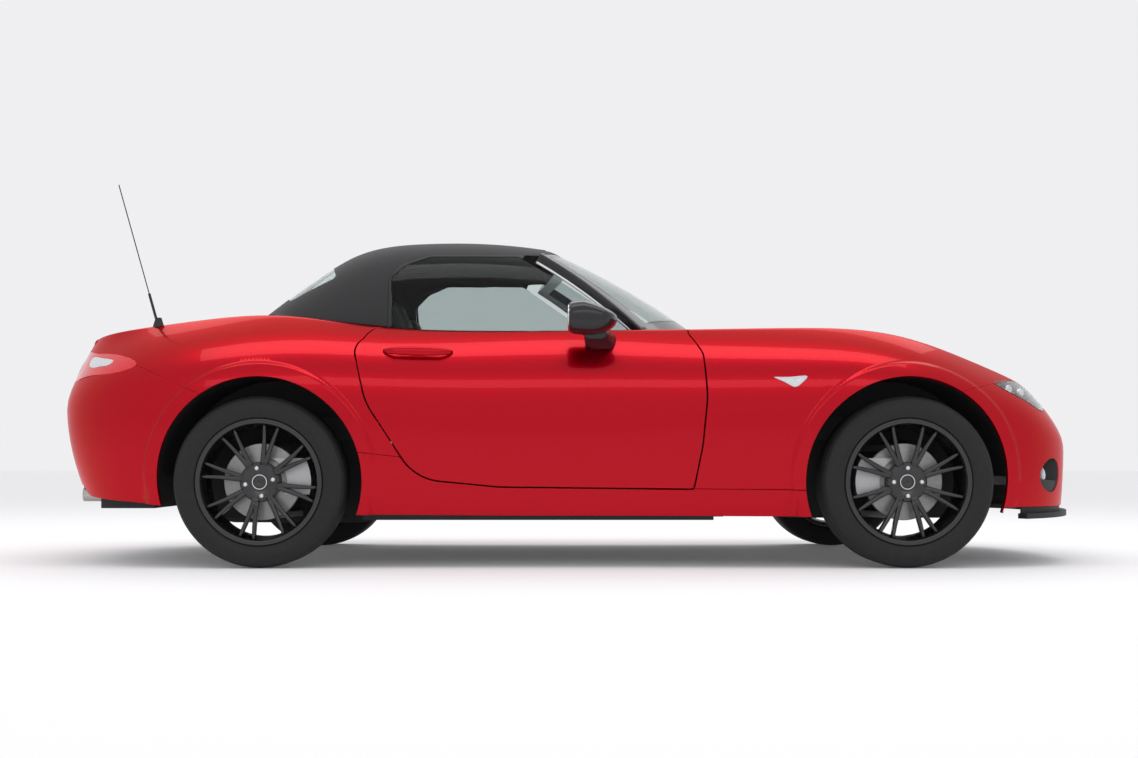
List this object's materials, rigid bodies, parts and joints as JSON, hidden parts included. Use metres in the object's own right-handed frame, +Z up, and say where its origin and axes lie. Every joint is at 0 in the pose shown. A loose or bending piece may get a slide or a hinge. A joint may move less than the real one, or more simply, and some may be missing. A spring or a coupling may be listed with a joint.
{
  "type": "convertible car",
  "caption": "Low two-seat convertible car with a fabric top, opening doors, hood and boot lid, spoked wheels that roll and front wheels that steer.",
  "frame": {"origin": "on the ground under the middle of the car's length and width", "axes": "+X forward, +Y to the left, +Z up"},
  "size_m": [3.9139, 1.884, 1.4125],
  "materials": {
    "body_paint": "gloss",
    "black_paint": "satin",
    "structure": "satin",
    "cast": "rough",
    "engine": "rough",
    "steel": "satin",
    "rim": "gloss",
    "tyre": "matte",
    "fabric": "matte",
    "glass": "gloss",
    "lamp": "gloss",
    "lamp_red": "gloss",
    "black_plastic": "matte",
    "gloss_black": "gloss",
    "leather": "satin"
  },
  "bodies": {
    "body": {"floor_pan": "structure", "underbody": "structure", "arch_liners": "black_plastic", "front_subframe": "steel", "rear_subframe": "steel", "boot_tray": "structure", "engine": "engine", "radiator": "cast", "front_bumper": "body_paint", "grille": "black_plastic", "front_lip": "black_plastic", "headlamps": "lamp", "front_fenders": "body_paint", "top_panels": "body_paint", "sills": "body_paint", "rear_quarters": "body_paint", "rear_bumper": "body_paint", "tail_lamps": "lamp_red", "windscreen_frame": "gloss_black", "windscreen": "glass", "soft_top": "fabric", "rear_window": "glass", "dashboard": "black_plastic", "seats": "leather", "exhaust": "steel", "antenna": "black_plastic"},
    "hood": {"hood": "body_paint"},
    "boot_lid": {"boot_lid": "body_paint"},
    "steering_wheel": {"steering_wheel": "leather"},
    "door_right": {"door_right": "body_paint", "door_glass_right": "glass", "mirror_right": "gloss_black"},
    "knuckle_front_right": {"knuckle_front_right": "cast"},
    "wheel_front_right": {"rim_front_right": "rim", "tyre_front_right": "tyre"},
    "wheel_rear_right": {"rim_rear_right": "rim", "tyre_rear_right": "tyre"},
    "door_left": {"door_left": "body_paint", "door_glass_left": "glass", "mirror_left": "gloss_black"},
    "knuckle_front_left": {"knuckle_front_left": "cast"},
    "wheel_front_left": {"rim_front_left": "rim", "tyre_front_left": "tyre"},
    "wheel_rear_left": {"rim_rear_left": "rim", "tyre_rear_left": "tyre"}
  },
  "joints": [
    {"name": "door_right_hinge", "type": "hinge", "parent": "body", "child": "door_right", "pos_m": [0.4455, -0.815, 0.55], "axis": [0, 0, 1], "range_deg": [0, 65]},
    {"name": "steer_right", "type": "hinge", "parent": "body", "child": "knuckle_front_right", "pos_m": [1.2075, -0.7025, 0.307], "axis": [0, 0, 1], "range_deg": [-35, 35]},
    {"name": "spin_front_right", "type": "hinge", "parent": "knuckle_front_right", "child": "wheel_front_right", "pos_m": [1.2075, -0.7475, 0.307], "axis": [0, 1, 0], "continuous": true},
    {"name": "spin_rear_right", "type": "hinge", "parent": "body", "child": "wheel_rear_right", "pos_m": [-1.1025, -0.7525, 0.307], "axis": [0, 1, 0], "continuous": true},
    {"name": "door_left_hinge", "type": "hinge", "parent": "body", "child": "door_left", "pos_m": [0.4455, 0.815, 0.55], "axis": [0, 0, -1], "range_deg": [0, 65]},
    {"name": "steer_left", "type": "hinge", "parent": "body", "child": "knuckle_front_left", "pos_m": [1.2075, 0.7025, 0.307], "axis": [0, 0, 1], "range_deg": [-35, 35]},
    {"name": "spin_front_left", "type": "hinge", "parent": "knuckle_front_left", "child": "wheel_front_left", "pos_m": [1.2075, 0.7475, 0.307], "axis": [0, 1, 0], "continuous": true},
    {"name": "spin_rear_left", "type": "hinge", "parent": "body", "child": "wheel_rear_left", "pos_m": [-1.1025, 0.7525, 0.307], "axis": [0, 1, 0], "continuous": true},
    {"name": "hood_hinge", "type": "hinge", "parent": "body", "child": "hood", "pos_m": [0.34, 0, 0.85], "axis": [0, -1, 0], "range_deg": [0, 50]},
    {"name": "boot_lid_hinge", "type": "hinge", "parent": "body", "child": "boot_lid", "pos_m": [-1.215, 0, 0.9], "axis": [0, 1, 0], "range_deg": [0, 70]},
    {"name": "steering_column", "type": "hinge", "parent": "body", "child": "steering_wheel", "pos_m": [0.2305, 0.35, 0.69], "axis": [-0.9511, 0, 0.309], "range_deg": [-490, 490]}
  ],
  "couplings": [
    {"joint": "steer_left", "follows": "steer_right", "ratio": 1},
    {"joint": "steering_column", "follows": "steer_right", "ratio": 14}
  ]
}
